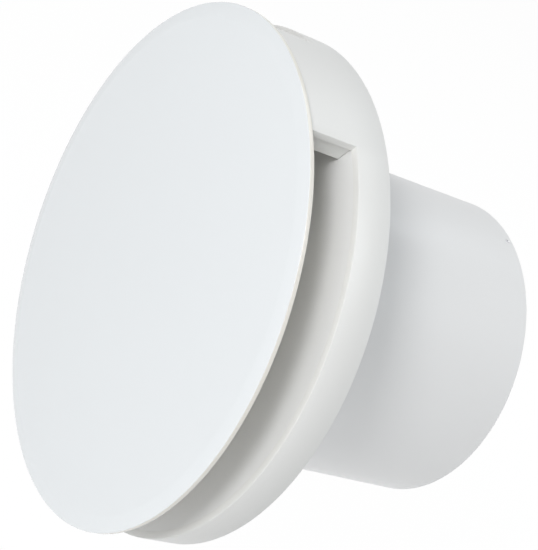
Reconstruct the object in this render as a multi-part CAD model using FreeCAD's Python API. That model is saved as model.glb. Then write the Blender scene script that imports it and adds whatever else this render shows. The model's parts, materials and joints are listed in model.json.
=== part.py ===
import FreeCAD, Part
import math
import os

# Exhaust fan for a wall, in millimetres.
# Y runs along the duct: the front panel looks to -Y, the spigot points to +Y, and Z is up.
# The origin is the middle of the wall plane, on which the base sits.

# Clearances shared by all pieces
overrun = 1.0               # how far a cut reaches past the face that it opens
slide_gap = 0.3             # between the lift-off cover and the base
running_gap = 0.04          # a shaft in its bush, a pin in its knuckle
seat_gap = 0.05             # a fixed piece in its seat

# Front panel
panel_overhang = 0.8        # how far the panel stands out past the ring
panel_thickness = 2.0
panel_bevel_width = 4.6
panel_bevel_drop = 0.6
panel_edge_chamfer = 0.5
panel_rib_shares = (0.30, 0.55)
panel_rib_width = 1.6
panel_rib_height = 1.6
panel_tongue_wall = 1.8
panel_tongue_depth = 6.5

# Cover ring with its two pillars
cover_radius = 79.2
cover_wall = 2.0
front_depth = 29.0          # panel face to wall plane
lip_depth = 17.5            # panel face to the rear edge of the side windows
pillar_angles = (90.0, 270.0)
pillar_span = 33.4
end_rib_depth = 7.5
end_rib_wall = 2.0
end_rib_recess = 0.4
band_wall_gap = 0.4
locator_offset = 4.5        # angle between a pillar's middle and its locators
locator_span = 3.6
locator_wall = 2.0
locator_inset = 5.6         # from the inside of the cover wall to the locator
locator_front_gap = 1.0
locator_reach = 7.0         # below the window's rear edge

# Base housing
floor_wall = 2.0
bell_share = 0.42           # bell mouth's radius, of the width between the duct and the skirt
collar_length = 6.0         # the part of the base that the spigot sits on
fixing_spacing_x = 28.0
fixing_inset = 6.9          # from the skirt's inside, straight up or down, to the fixing holes
fixing_hole_radius = 2.25
fixing_boss_radius = 4.2
rear_rib_angles = (30.0, 90.0, 150.0, 210.0, 330.0)
rear_rib_wall = 1.6
rear_rib_recess = 1.0

# Spigot
spigot_radius = 49.75
spigot_wall = 2.0
spigot_length = 82.0
spigot_rim_chamfer = 0.4

# Motor bracket
bracket_angles = (90.0, 210.0, 330.0)
bracket_plate_margin = 1.0  # past the motor's outside
bracket_plate_wall = 3.0
bracket_plate_hole = 8.0
bracket_arm_width = 7.0
bracket_arm_rib_wall = 1.8
bracket_arm_rib_height = 2.0
foot_radius = 4.5
foot_height = 2.5
foot_inset_share = 0.19     # from the flat floor's edge to the foot's middle, of the bell mouth's radius
foot_boss_depth = 9.0
foot_screw_radius = 1.5
foot_screw_depth = 7.0
foot_screw_head_radius = 2.8
foot_screw_head_height = 2.0

# Motor
motor_radius = 21.0
motor_length = 28.0
cap_wall = 2.0
cap_boss_radius = 7.5
cap_pillar_radius = 2.4
stack_length = 10.0
yoke_share = 0.19           # of the motor's radius, as the next four
rotor_share = 0.476
pole_share = 0.286
pole_shoe_share = 0.081
coil_share = 0.076
air_gap = 0.3
pole_angles = (0.0, 90.0, 180.0, 270.0)
pole_shoe_half_angle = 32.0
bobbin_wall = 0.7
bobbin_gap = 0.1
coil_inset = 0.3
shading_slot_start = 12.0
shading_slot_end = 14.0
shading_tip_end = 34.0
shading_ring_height = 0.9
tie_screw_angles = (45.0, 225.0)
tie_screw_radius = 1.0
tie_screw_head_radius = 1.9
tie_screw_head_height = 1.2
mount_screw_angles = (135.0, 315.0)
mount_screw_radius = 1.3
mount_screw_head_radius = 2.4
mount_screw_head_height = 1.6
mount_screw_depth = 5.0
mount_screw_inset = 4.6     # from the outside of the motor to the screw

# Shaft, bushes and rotor
shaft_radius = 2.0
shaft_tail = 2.5            # length that stands out of the impeller
bush_radius = 5.0
bush_length = 4.0
rotor_overhang = 0.5
end_ring_width = 3.5
end_ring_height = 1.5
end_ring_inset = 0.4
washer_radius = 4.0
washer_thickness = 0.6

# Impeller
impeller_gap = 2.4          # motor to hub
hub_inset = 1.0             # from the motor's outside
hub_wall = 1.8
hub_length = 24.0
hub_round = 4.0
hub_boss_radius = 5.0
hub_boss_recess = 6.0
hub_rib_count = 6
hub_rib_wall = 1.5
blade_count = 7
blade_tip_gap = 1.5
blade_pitch = 112.0         # advance in one turn
blade_root_chord = 20.0
blade_tip_chord = 30.0
blade_camber_share = 0.075
blade_middle_wall = 1.9
blade_edge_wall = 0.8
blade_station_count = 4
clip_radius = 4.5
clip_thickness = 1.0

# Electrical connection
terminal_rim_gap = 3.6      # from the terminal cover to the cover's locators
terminal_length = 13.0
terminal_width = 13.5
terminal_height = 12.0
terminal_pitch = 6.75
terminal_bore_radius = 2.0
terminal_bore_height = 5.0
terminal_well_radius = 1.7
terminal_well_spacing = 6.0
terminal_pad_margin = 3.0
clamp_tube_wall = 0.7
clamp_tube_length = 11.0
terminal_screw_radius = 1.1
terminal_screw_length = 5.0
block_screw_radius = 1.0
block_screw_head_radius = 1.8
block_screw_head_height = 1.2
block_screw_depth = 3.2
block_screw_seat = 7.6      # above the pad
terminal_cover_wall = 1.2
terminal_cover_gap = 0.8
terminal_cover_height = 14.4
terminal_cover_slot = 9.8
lead_radius = 0.9
lead_exit_angle = 330.0
lead_exit_gap = 0.27        # between the two leads where they leave the motor
lead_exit_depth = 5.0       # behind the motor's front face
lead_exit_reach = 1.2       # start of a lead, inside the motor's wall
entry_angle = 244.0
entry_share = 0.57          # entry's radius, of half the flat floor's width
grommet_bore_share = 0.67   # of the entry's radius, as the next two
grommet_throat_share = 0.78
grommet_flange_share = 0.44
grommet_front_wall = 1.7
grommet_rear_wall = 1.4
grommet_nose_wall = 1.2
grommet_nose_length = 4.0
cable_clamp_offset_x = -14.5
cable_clamp_width = 5.0
cable_clamp_length = 14.6
cable_clamp_roof = 2.0
cable_channel_radius = 3.3
cable_channel_height = 1.7
cable_clamp_raise = 2.75    # clamp's middle above the terminal block's middle
cable_screw_spacing = 10.4
cable_screw_radius = 1.1
cable_screw_head_radius = 1.9
cable_screw_head_height = 1.4
cable_screw_depth = 3.2

# Back-draught shutter
pin_radius = 0.75
pin_rim_distance = 2.4      # from the spigot's end
pin_end_recess = 0.15
flap_gap = 0.85
flap_wall = 1.2
flap_edge = 1.0             # from the pin's middle to a flap's straight edge
flap_rib_wall = 1.2
flap_rib_height = 0.8
flap_rib_shares = (0.12, 0.88)
flap_rib_level_share = 0.45
knuckle_radius = 2.0
knuckle_length = 8.0
knuckle_low_share = 0.17
knuckle_high_share = 0.55
knuckle_notch_gap = 0.6
spring_radius = 1.5
spring_wire_radius = 0.25
spring_turns = 5
spring_wind_share = 0.9
spring_groove_share = 0.3
spring_leg_radius_share = 0.9
spring_leg_length = 12.0
spring_flap_gap = 0.35
spring_knuckle_gap = 1.2
ledge_width = 2.0
ledge_height = 1.0
ledge_gap = 0.2

# Screw drive slots
drive_slot_width_share = 0.28
drive_slot_depth_share = 0.45

# Levels along the duct and radii that follow from the sizes above
panel_front = -front_depth
panel_rear = panel_front + panel_thickness
lip_level = panel_front + lip_depth
floor_rear = lip_level + floor_wall
panel_radius = cover_radius + panel_overhang
cover_inner = cover_radius - cover_wall
locator_inner = cover_inner - locator_inset
skirt_radius = cover_inner - slide_gap
skirt_inner = skirt_radius - floor_wall
duct_radius = spigot_radius - spigot_wall
bell_radius = (skirt_inner - duct_radius) * bell_share
bell_edge = duct_radius + bell_radius
bell_end = lip_level + bell_radius
collar_radius = duct_radius + spigot_wall / 2
collar_end = bell_end + collar_length
fixing_spacing_z = 2 * (skirt_inner - fixing_inset)
foot_circle = bell_edge - bell_radius * foot_inset_share
motor_front = lip_level - foot_height
motor_rear = motor_front + motor_length
motor_middle = (motor_front + motor_rear) / 2
stack_front = motor_middle - stack_length / 2
stack_rear = motor_middle + stack_length / 2
bracket_plate_radius = motor_radius + bracket_plate_margin
hub_radius = motor_radius - hub_inset
yoke_width = motor_radius * yoke_share
rotor_radius = motor_radius * rotor_share
pole_width = motor_radius * pole_share
pole_shoe_depth = motor_radius * pole_shoe_share
coil_depth = motor_radius * coil_share
yoke_inner = motor_radius - yoke_width
stator_bore = rotor_radius + air_gap
tie_screw_circle = motor_radius - yoke_width / 2
mount_screw_circle = motor_radius - mount_screw_inset
plate_front = motor_front - bracket_plate_wall
hub_front = motor_rear + impeller_gap
hub_rear = hub_front + hub_length
shaft_end = hub_rear + shaft_tail
blade_tip_radius = duct_radius - blade_tip_gap
terminal_half_span = terminal_width / 2 + terminal_cover_gap + terminal_cover_wall
terminal_z = terminal_half_span + terminal_rim_gap - locator_inner
terminal_top = lip_level - terminal_height
terminal_bore_level = lip_level - terminal_bore_height
cable_z = terminal_z + cable_clamp_raise
cable_clamp_height = cable_channel_height + cable_channel_radius + cable_clamp_roof
entry_circle = (bell_edge + skirt_inner) / 2
entry_radius = (skirt_inner - bell_edge) / 2 * entry_share
grommet_bore_radius = entry_radius * grommet_bore_share
grommet_throat_radius = entry_radius * grommet_throat_share
grommet_flange = entry_radius * grommet_flange_share
pin_level = spigot_length - pin_rim_distance
flap_radius = duct_radius - flap_gap
flap_rear = pin_level - spring_radius - spring_wire_radius - spring_flap_gap
flap_front = flap_rear - flap_wall
ledge_rear = flap_front - ledge_gap
knuckle_low = flap_radius * knuckle_low_share
knuckle_high = flap_radius * knuckle_high_share

origin = FreeCAD.Vector(0, 0, 0)
duct_axis = FreeCAD.Vector(0, 1, 0)
turn_axis = FreeCAD.Vector(0, -1, 0)    # turns +X towards +Z
across = FreeCAD.Vector(1, 0, 0)
upward = FreeCAD.Vector(0, 0, 1)
full_turn = 360.0
half_turn = 180.0
quarter_turn = 90.0
corner_mitre = 1                        # how a swept tube turns a corner
arc_middle_share = 1 - math.sqrt(0.5)   # how far a quarter round's middle is from its corner


# Shapes used by several pieces

def polar(radius, angle, level):
    """Point at a radius, an angle from +X towards +Z and a level along the duct."""
    turn = math.radians(angle)
    return FreeCAD.Vector(radius * math.cos(turn), level, radius * math.sin(turn))


def arc_angle(length, radius):
    """Angle in degrees that a length takes up on a circle."""
    return math.degrees(length / radius)


def on_profile(point):
    return FreeCAD.Vector(point[0], point[1], 0)


def profile(start, *steps):
    """Face from (radius, level) corners. A pair of points is an arc: one that it passes, and its end."""
    edges = []
    here = on_profile(start)
    for step in steps + (start,):
        if isinstance(step[0], tuple):
            end = on_profile(step[1])
            edges.append(Part.Arc(here, on_profile(step[0]), end).toShape())
        else:
            end = on_profile(step)
            edges.append(Part.makeLine(here, end))
        here = end
    return Part.Face(Part.Wire(edges))


def sound(solid):
    """The same solid with its faces pointing outwards."""
    if solid.Volume < 0:
        solid.reverse()
    return solid


def turned(face, start=0, sweep=full_turn):
    """Solid of a profile turned about the duct axis."""
    placed = face.copy()
    placed.rotate(origin, turn_axis, start)
    return sound(placed.revolve(origin, turn_axis, sweep))


def tube(inner, outer, front, rear, start=0, sweep=full_turn):
    """Ring, or a stretch of one, about the duct axis."""
    return turned(profile((inner, front), (outer, front), (outer, rear), (inner, rear)), start, sweep)


def rod(radius, front, rear, x=0, z=0):
    """Round bar along the duct axis."""
    return Part.makeCylinder(radius, rear - front, FreeCAD.Vector(x, front, z), duct_axis)


def bar(radius, start, direction, length):
    """Round bar from a point in any direction."""
    return Part.makeCylinder(radius, length, start, direction)


def block(low_x, high_x, front, rear, low_z, high_z):
    corner = FreeCAD.Vector(low_x, front, low_z)
    return Part.makeBox(high_x - low_x, rear - front, high_z - low_z, corner)


def about_duct(shape, angle):
    """Copy of a shape turned about the duct axis."""
    copy = shape.copy()
    copy.rotate(origin, turn_axis, angle)
    return copy


def joined(shapes):
    return shapes[0].multiFuse(shapes[1:]).removeSplitter()


def group(shapes):
    return Part.makeCompound(shapes)


def screw(head_radius, head_height, shank_radius, seat, depth, x, z, side=1):
    """Pan head screw with a drive slot. Its head sits on the seat and its shank points to side times Y."""
    head_top = seat - side * head_height
    head = rod(head_radius, min(seat, head_top), max(seat, head_top), x, z)
    rim = [edge for edge in head.Edges if abs(edge.CenterOfMass.y - head_top) < head_height / 2 and edge.Closed]
    head = head.makeChamfer(head_height / 2, rim)
    tip = seat + side * depth
    shank = rod(shank_radius, min(seat, tip), max(seat, tip), x, z)
    slot_half = head_radius * drive_slot_width_share / 2
    slot_floor = head_top + side * head_height * drive_slot_depth_share
    slot_open = head_top - side * overrun
    slot = block(x - slot_half, x + slot_half, min(slot_floor, slot_open), max(slot_floor, slot_open),
                 z - head_radius - overrun, z + head_radius + overrun)
    return joined([head.cut(slot), shank])


def fixing_points():
    return [(side * fixing_spacing_x / 2, level * fixing_spacing_z / 2) for side in (-1, 1) for level in (-1, 1)]


# Cover: front panel and ring

def front_panel():
    shoulder = panel_front + panel_bevel_drop
    plate = turned(profile(
        (0, panel_front),
        (panel_radius - panel_bevel_width, panel_front),
        (panel_radius - panel_edge_chamfer, shoulder),
        (panel_radius, shoulder + panel_edge_chamfer),
        (panel_radius, panel_rear),
        (0, panel_rear)))
    pieces = [plate]
    for share in panel_rib_shares:
        rib_radius = panel_radius * share
        pieces.append(tube(rib_radius, rib_radius + panel_rib_width, panel_rear, panel_rear + panel_rib_height))
    tongue_outer = cover_inner - slide_gap
    tongue_inner = tongue_outer - panel_tongue_wall
    rib_angle = arc_angle(end_rib_wall + end_rib_recess + slide_gap, tongue_inner)
    tongue_half = pillar_span / 2 - rib_angle
    for angle in pillar_angles:
        pieces.append(tube(tongue_inner, tongue_outer, panel_rear, panel_rear + panel_tongue_depth,
                           angle - tongue_half, 2 * tongue_half))
    return joined(pieces)


def cover_ring():
    wall_middle = cover_inner + cover_wall / 2
    rib_inner = cover_radius - end_rib_depth
    rib_rear = lip_level - slide_gap
    rib_angle = arc_angle(end_rib_wall, cover_radius)
    recess_angle = arc_angle(end_rib_recess, cover_radius)
    locator_front = panel_rear + panel_tongue_depth + locator_front_gap
    locator_outer = locator_inner + locator_wall
    pieces = [tube(cover_inner, cover_radius, lip_level, -band_wall_gap)]
    for angle in pillar_angles:
        edge = angle - pillar_span / 2
        pieces.append(tube(cover_inner, cover_radius, panel_rear, lip_level, edge, pillar_span))
        for rib_start in (edge + recess_angle, edge + pillar_span - recess_angle - rib_angle):
            pieces.append(tube(rib_inner, wall_middle, panel_rear, rib_rear, rib_start, rib_angle))
        for side in (-1, 1):
            start = angle + side * locator_offset - locator_span / 2
            pieces.append(tube(locator_inner, wall_middle, locator_front, rib_rear, start, locator_span))
            pieces.append(tube(locator_inner, locator_outer, locator_front, lip_level + locator_reach,
                               start, locator_span))
    return joined(pieces)


# Base housing

def bell_arc(wall):
    """Middle and end of the bell mouth's curve, at a distance behind its front face."""
    radius = bell_radius - wall
    middle = (bell_edge - radius * math.sqrt(0.5), bell_end - radius * math.sqrt(0.5))
    return middle, (bell_edge - radius, bell_end)


def bell_space():
    """Space between the flat floor's plane and the bell mouth."""
    middle, end = bell_arc(0)
    return turned(profile((bell_edge, lip_level), (middle, end), (duct_radius, lip_level)))


def base_housing():
    front_middle, front_end = bell_arc(0)
    rear_middle, rear_end = bell_arc(floor_wall)
    shell = turned(profile(
        (skirt_radius, 0),
        (skirt_radius, lip_level),
        (bell_edge, lip_level),
        (front_middle, front_end),
        (duct_radius, collar_end),
        (collar_radius, collar_end),
        (collar_radius, bell_end),
        rear_end,
        (rear_middle, (bell_edge, floor_rear)),
        (skirt_inner, floor_rear),
        (skirt_inner, 0)))
    pieces = [shell]
    for x, z in fixing_points():
        pieces.append(rod(fixing_boss_radius, lip_level + floor_wall / 2, 0, x, z))
    for angle in bracket_angles:
        foot = polar(foot_circle, angle, 0)
        pieces.append(rod(foot_radius, lip_level, lip_level + foot_boss_depth, foot.x, foot.z))
    wall_half = floor_wall / 2
    rib = block(bell_edge, skirt_inner + wall_half, lip_level + wall_half, -rear_rib_recess,
                -rear_rib_wall / 2, rear_rib_wall / 2)
    for angle in rear_rib_angles:
        pieces.append(about_duct(rib, angle))
    pad_top = terminal_z + terminal_width / 2 + terminal_pad_margin
    pad_right = terminal_length / 2 + terminal_pad_margin
    pad_left = cable_clamp_offset_x - cable_clamp_width / 2 - terminal_pad_margin / 2
    pad = block(pad_left, pad_right, lip_level, bell_end, -bell_edge, pad_top)
    pieces.append(pad.common(bell_space()))
    body = joined(pieces)
    return body.cut(joined(housing_cuts()))


def housing_cuts():
    """Holes and slots of the base housing."""
    cuts = []
    for x, z in fixing_points():
        cuts.append(rod(fixing_hole_radius, lip_level - overrun, overrun, x, z))
    for angle in bracket_angles:
        foot = polar(foot_circle, angle, 0)
        cuts.append(rod(foot_screw_radius + seat_gap, lip_level - overrun, lip_level + foot_screw_depth,
                        foot.x, foot.z))
    slot_inner = locator_inner - slide_gap
    slot_outer = locator_inner + locator_wall + slide_gap
    locator_slot = locator_span + 2 * arc_angle(slide_gap, slot_inner)
    for angle in pillar_angles:
        for side in (-1, 1):
            start = angle + side * locator_offset - locator_slot / 2
            cuts.append(tube(slot_inner, slot_outer, lip_level - overrun, floor_rear + overrun,
                             start, locator_slot))
    entry = polar(entry_circle, entry_angle, 0)
    cuts.append(rod(entry_radius, lip_level - overrun, floor_rear + overrun, entry.x, entry.z))
    for z in cable_screw_places():
        cuts.append(rod(cable_screw_radius + seat_gap, lip_level - overrun,
                        lip_level + cable_screw_depth, cable_clamp_offset_x, z))
    cuts.append(rod(block_screw_radius + seat_gap, lip_level - overrun,
                    lip_level + block_screw_depth, 0, terminal_z))
    return cuts


# Spigot

def spigot_tube():
    """Tube on the base's collar, with a ledge for the flaps and holes for their pin."""
    shell = turned(profile(
        (collar_radius + seat_gap, bell_end),
        (spigot_radius, bell_end),
        (spigot_radius, spigot_length - spigot_rim_chamfer),
        (spigot_radius - spigot_rim_chamfer, spigot_length),
        (duct_radius, spigot_length),
        (duct_radius, ledge_rear),
        (duct_radius - ledge_width, ledge_rear),
        (duct_radius - ledge_width, ledge_rear - ledge_height),
        (duct_radius, ledge_rear - ledge_height),
        (duct_radius, collar_end),
        (collar_radius + seat_gap, collar_end)))
    reach = spigot_radius + overrun
    return shell.cut(bar(pin_radius + seat_gap, FreeCAD.Vector(0, pin_level, -reach), upward, 2 * reach))


# Motor bracket and its screws

def motor_bracket():
    plate = tube(bracket_plate_hole, bracket_plate_radius, plate_front, motor_front)
    pieces = [plate]
    root = (bracket_plate_hole + bracket_plate_radius) / 2
    side = profile(
        (root, plate_front),
        (bracket_plate_radius, plate_front),
        (foot_circle - foot_radius, motor_front),
        (foot_circle, motor_front),
        (foot_circle, lip_level),
        (foot_circle - foot_radius, lip_level),
        (bracket_plate_radius, motor_front),
        (root, motor_front))
    rib_side = profile(
        (root, plate_front),
        (bracket_plate_radius, plate_front - bracket_arm_rib_height),
        (foot_circle - foot_radius, motor_front),
        (root, motor_front))
    for angle in bracket_angles:
        for face, width in ((side, bracket_arm_width), (rib_side, bracket_arm_rib_wall)):
            arm = face.extrude(upward * width)
            arm.translate(-upward * width / 2)
            pieces.append(about_duct(arm, angle))
        foot = polar(foot_circle, angle, 0)
        pieces.append(rod(foot_radius, motor_front, lip_level, foot.x, foot.z))
    body = joined(pieces)
    cuts = []
    for angle in bracket_angles:
        foot = polar(foot_circle, angle, 0)
        cuts.append(rod(foot_screw_radius + seat_gap, plate_front, lip_level + overrun, foot.x, foot.z))
    for angle in mount_screw_angles:
        place = polar(mount_screw_circle, angle, 0)
        cuts.append(rod(mount_screw_radius + seat_gap, plate_front - overrun, motor_front + overrun,
                        place.x, place.z))
    return body.cut(joined(cuts))


def bracket_screws():
    places = [polar(foot_circle, angle, 0) for angle in bracket_angles]
    depth = foot_height + foot_screw_depth - overrun
    return group([screw(foot_screw_head_radius, foot_screw_head_height, foot_screw_radius,
                        motor_front, depth, place.x, place.z) for place in places])


def motor_mount_screws():
    places = [polar(mount_screw_circle, angle, 0) for angle in mount_screw_angles]
    depth = bracket_plate_wall + mount_screw_depth
    return group([screw(mount_screw_head_radius, mount_screw_head_height, mount_screw_radius,
                        plate_front, depth, place.x, place.z) for place in places])


# Motor

def motor_cap(front, side):
    """End cap of the motor. Its plate starts at front and its wall reaches to the stack on that side."""
    inside = front + side * cap_wall
    edge = motor_middle - side * stack_length / 2
    bush_edge = inside + side * bush_length
    low, high = sorted((front, inside))
    wall_low, wall_high = sorted((front, edge))
    boss_low, boss_high = sorted((front, bush_edge))
    pieces = [rod(motor_radius, low, high), tube(motor_radius - cap_wall, motor_radius, wall_low, wall_high),
              rod(cap_boss_radius, boss_low, boss_high)]
    for angle in tie_screw_angles:
        place = polar(tie_screw_circle - cap_wall / 2, angle, 0)
        pieces.append(rod(cap_pillar_radius, wall_low, wall_high, place.x, place.z))
    return joined(pieces)


def bush_seat(front, side):
    """Cut for the bush in a cap."""
    inside = front + side * cap_wall
    end = inside + side * (bush_length + overrun)
    low, high = sorted((inside, end))
    return rod(bush_radius + seat_gap, low, high)


def motor_front_cap():
    cap = motor_cap(motor_front, 1)
    pillars = []
    cuts = [bush_seat(motor_front, 1)]
    for angle in mount_screw_angles:
        place = polar(mount_screw_circle, angle, 0)
        pillars.append(rod(cap_pillar_radius, motor_front, motor_front + mount_screw_depth + cap_wall,
                           place.x, place.z))
        cuts.append(rod(mount_screw_radius + seat_gap, motor_front - overrun,
                        motor_front + mount_screw_depth, place.x, place.z))
    for angle in tie_screw_angles:
        place = polar(tie_screw_circle, angle, 0)
        cuts.append(rod(tie_screw_radius + seat_gap, motor_front + cap_wall, stack_front + overrun,
                        place.x, place.z))
    for start in lead_starts():
        reach = polar(1, lead_exit_angle, 0)
        cuts.append(bar(lead_radius + seat_gap, start - reach * cap_wall, reach, 2 * cap_wall + overrun))
    return joined([cap] + pillars).cut(joined(cuts))


def motor_rear_cap():
    cuts = [bush_seat(motor_rear, -1), rod(washer_radius, motor_rear - cap_wall - overrun, motor_rear + overrun)]
    for angle in tie_screw_angles:
        place = polar(tie_screw_circle, angle, 0)
        cuts.append(rod(tie_screw_radius + seat_gap, stack_rear - overrun, motor_rear + overrun,
                        place.x, place.z))
    return motor_cap(motor_rear, -1).cut(joined(cuts))


def motor_tie_screws():
    depth = motor_length - cap_wall - overrun
    places = [polar(tie_screw_circle, angle, 0) for angle in tie_screw_angles]
    return group([screw(tie_screw_head_radius, tie_screw_head_height, tie_screw_radius,
                        motor_rear, depth, place.x, place.z, -1) for place in places])


def stator_core():
    shoe_outer = stator_bore + pole_shoe_depth
    pieces = [tube(yoke_inner, motor_radius, stack_front, stack_rear)]
    cuts = [rod(stator_bore, stack_front - overrun, stack_rear + overrun)]
    for angle in pole_angles:
        pole = block(rotor_radius, motor_radius - yoke_width / 2, stack_front, stack_rear,
                     -pole_width / 2, pole_width / 2)
        pieces.append(about_duct(pole, angle))
        pieces.append(tube(rotor_radius, shoe_outer, stack_front, stack_rear,
                           angle - pole_shoe_half_angle, 2 * pole_shoe_half_angle))
        cuts.append(tube(rotor_radius, shoe_outer, stack_front - overrun, stack_rear + overrun,
                         angle + shading_slot_start, shading_slot_end - shading_slot_start))
    for angle in tie_screw_angles:
        place = polar(tie_screw_circle, angle, 0)
        cuts.append(rod(tie_screw_radius + seat_gap, stack_front - overrun, stack_rear + overrun,
                        place.x, place.z))
    return joined(pieces).cut(joined(cuts))


def pole_frame(inner_grow, wall, low, high):
    """Rectangular sleeve round the pole at +X, between two radii."""
    half_width = pole_width / 2 + inner_grow
    half_height = stack_length / 2 + inner_grow
    outer = block(low, high, motor_middle - half_height - wall, motor_middle + half_height + wall,
                  -half_width - wall, half_width + wall)
    inner = block(low - overrun, high + overrun, motor_middle - half_height, motor_middle + half_height,
                  -half_width, half_width)
    return outer.cut(inner)


def winding_low():
    return stator_bore + pole_shoe_depth + coil_inset


def winding_high():
    """Largest radius at which the corners of a winding clear the yoke."""
    half_width = pole_width / 2 + bobbin_gap + bobbin_wall + coil_depth
    return math.sqrt((yoke_inner - coil_inset) ** 2 - half_width ** 2)


def coil_bobbins():
    sleeve = pole_frame(bobbin_gap, bobbin_wall, winding_low(), winding_high())
    return group([about_duct(sleeve, angle) for angle in pole_angles])


def stator_coils():
    low = winding_low() + coil_inset
    high = winding_high() - coil_inset
    winding = pole_frame(bobbin_gap + bobbin_wall, coil_depth, low, high)
    return group([about_duct(winding, angle) for angle in pole_angles])


def shading_rings():
    low = stator_bore + seat_gap
    high = stator_bore + pole_shoe_depth - seat_gap
    gap_angle = arc_angle(seat_gap, low)
    slot_half = (shading_slot_end - shading_slot_start) / 2
    rings = []
    for angle in pole_angles:
        start = angle + shading_slot_start + gap_angle
        ring = tube(low, high, stack_front - shading_ring_height, stack_rear + shading_ring_height,
                    start, shading_tip_end - shading_slot_start - gap_angle)
        window_end = angle + shading_tip_end - slot_half + gap_angle
        window_start = angle + shading_slot_end - gap_angle
        window = tube(low - overrun, high + overrun, stack_front - seat_gap, stack_rear + seat_gap,
                      window_start, window_end - window_start)
        rings.append(ring.cut(window))
    return group(rings)


def front_bearing():
    seat = motor_front + cap_wall
    return tube(shaft_radius + running_gap, bush_radius, seat, seat + bush_length)


def rear_bearing():
    seat = motor_rear - cap_wall
    return tube(shaft_radius + running_gap, bush_radius, seat - bush_length, seat)


# Rotor, shaft and impeller

def motor_shaft():
    return rod(shaft_radius, motor_front + cap_wall + slide_gap, shaft_end)


def rotor_core():
    return tube(shaft_radius, rotor_radius, stack_front - rotor_overhang, stack_rear + rotor_overhang)


def rotor_end_rings():
    outer = rotor_radius - end_ring_inset
    front = stack_front - rotor_overhang
    rear = stack_rear + rotor_overhang
    return group([tube(outer - end_ring_width, outer, front - end_ring_height, front),
                  tube(outer - end_ring_width, outer, rear, rear + end_ring_height)])


def thrust_washers():
    front_seat = motor_front + cap_wall + bush_length + running_gap
    rear_seat = motor_rear - cap_wall - bush_length - running_gap
    return group([tube(shaft_radius, washer_radius, front_seat, front_seat + washer_thickness),
                  tube(shaft_radius, washer_radius, rear_seat - washer_thickness, rear_seat)])


def blade_section(radius):
    """Closed curved section of a blade at a radius, in the plane that the radius is square to."""
    span_share = (radius - hub_radius) / (blade_tip_radius - hub_radius)
    chord = blade_root_chord + (blade_tip_chord - blade_root_chord) * span_share
    tilt = math.atan(blade_pitch / (2 * math.pi * radius))
    camber = chord * blade_camber_share
    middle_level = hub_front + hub_length / 2

    def point(along, off):
        tangential = along * math.cos(tilt) - off * math.sin(tilt)
        axial = along * math.sin(tilt) + off * math.cos(tilt)
        return FreeCAD.Vector(radius, middle_level + axial, tangential)

    half = chord / 2
    edge = blade_edge_wall / 2
    middle = blade_middle_wall / 2
    back = Part.Arc(point(-half, -edge), point(0, camber - middle), point(half, -edge)).toShape()
    nose = Part.makeLine(point(half, -edge), point(half, edge))
    front = Part.Arc(point(half, edge), point(0, camber + middle), point(-half, edge)).toShape()
    tail = Part.makeLine(point(-half, edge), point(-half, -edge))
    return Part.Wire([back, nose, front, tail])


def blade():
    """Twisted blade at +X, from the middle of the hub's wall to the tip."""
    first = hub_radius * math.cos(math.radians(2 * full_turn / blade_count / 4))
    last = blade_tip_radius + overrun
    step = (last - first) / (blade_station_count - 1)
    sections = [blade_section(first + step * station) for station in range(blade_station_count)]
    loft = sound(Part.makeLoft(sections, True, False))
    reach = tube(hub_radius - hub_wall / 2, blade_tip_radius, hub_front - hub_length, hub_rear + hub_length)
    return loft.common(reach)


def impeller():
    corner = hub_round * arc_middle_share
    inner = hub_radius - hub_wall
    shell = turned(profile(
        (inner, hub_front),
        (hub_radius, hub_front),
        (hub_radius, hub_rear - hub_round),
        ((hub_radius - corner, hub_rear - corner), (hub_radius - hub_round, hub_rear)),
        (0, hub_rear),
        (0, hub_rear - hub_wall),
        (inner - hub_round, hub_rear - hub_wall),
        ((inner - corner, hub_rear - hub_wall - corner), (inner, hub_rear - hub_wall - hub_round))))
    pieces = [shell, rod(hub_boss_radius, hub_front + hub_boss_recess, hub_rear)]
    for count in range(hub_rib_count):
        rib = block(hub_boss_radius - hub_rib_wall, hub_radius - hub_wall / 2,
                    hub_front + hub_boss_recess, hub_rear - hub_wall / 2, -hub_rib_wall / 2, hub_rib_wall / 2)
        envelope = rod(hub_radius - hub_wall / 2, hub_front, hub_rear - hub_round)
        pieces.append(about_duct(rib.common(envelope), full_turn / hub_rib_count * count))
    single = blade()
    for count in range(blade_count):
        pieces.append(about_duct(single, full_turn / blade_count * count))
    bore = rod(shaft_radius, hub_front - overrun, hub_rear + overrun)
    return joined(pieces).cut(bore)


def impeller_clip():
    return tube(shaft_radius, clip_radius, hub_rear, hub_rear + clip_thickness)


# Electrical connection

def pole_places():
    return [terminal_z + terminal_pitch / 2, terminal_z - terminal_pitch / 2]


def well_places():
    return [(side * terminal_well_spacing / 2, z) for side in (-1, 1) for z in pole_places()]


def cable_screw_places():
    return [cable_z + cable_screw_spacing / 2, cable_z - cable_screw_spacing / 2]


def terminal_block():
    half_length = terminal_length / 2
    half_width = terminal_width / 2
    body = block(-half_length, half_length, terminal_top, lip_level,
                 terminal_z - half_width, terminal_z + half_width)
    cuts = []
    for z in pole_places():
        start = FreeCAD.Vector(-half_length - overrun, terminal_bore_level, z)
        cuts.append(bar(terminal_bore_radius, start, across, terminal_length + 2 * overrun))
    for x, z in well_places():
        cuts.append(rod(terminal_well_radius, terminal_top - overrun, terminal_bore_level, x, z))
    head_seat = lip_level - block_screw_seat
    cuts.append(rod(block_screw_radius + seat_gap, terminal_top - overrun, lip_level + overrun, 0, terminal_z))
    cuts.append(rod(block_screw_head_radius + seat_gap, terminal_top - overrun, head_seat, 0, terminal_z))
    return body.cut(joined(cuts))


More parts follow.
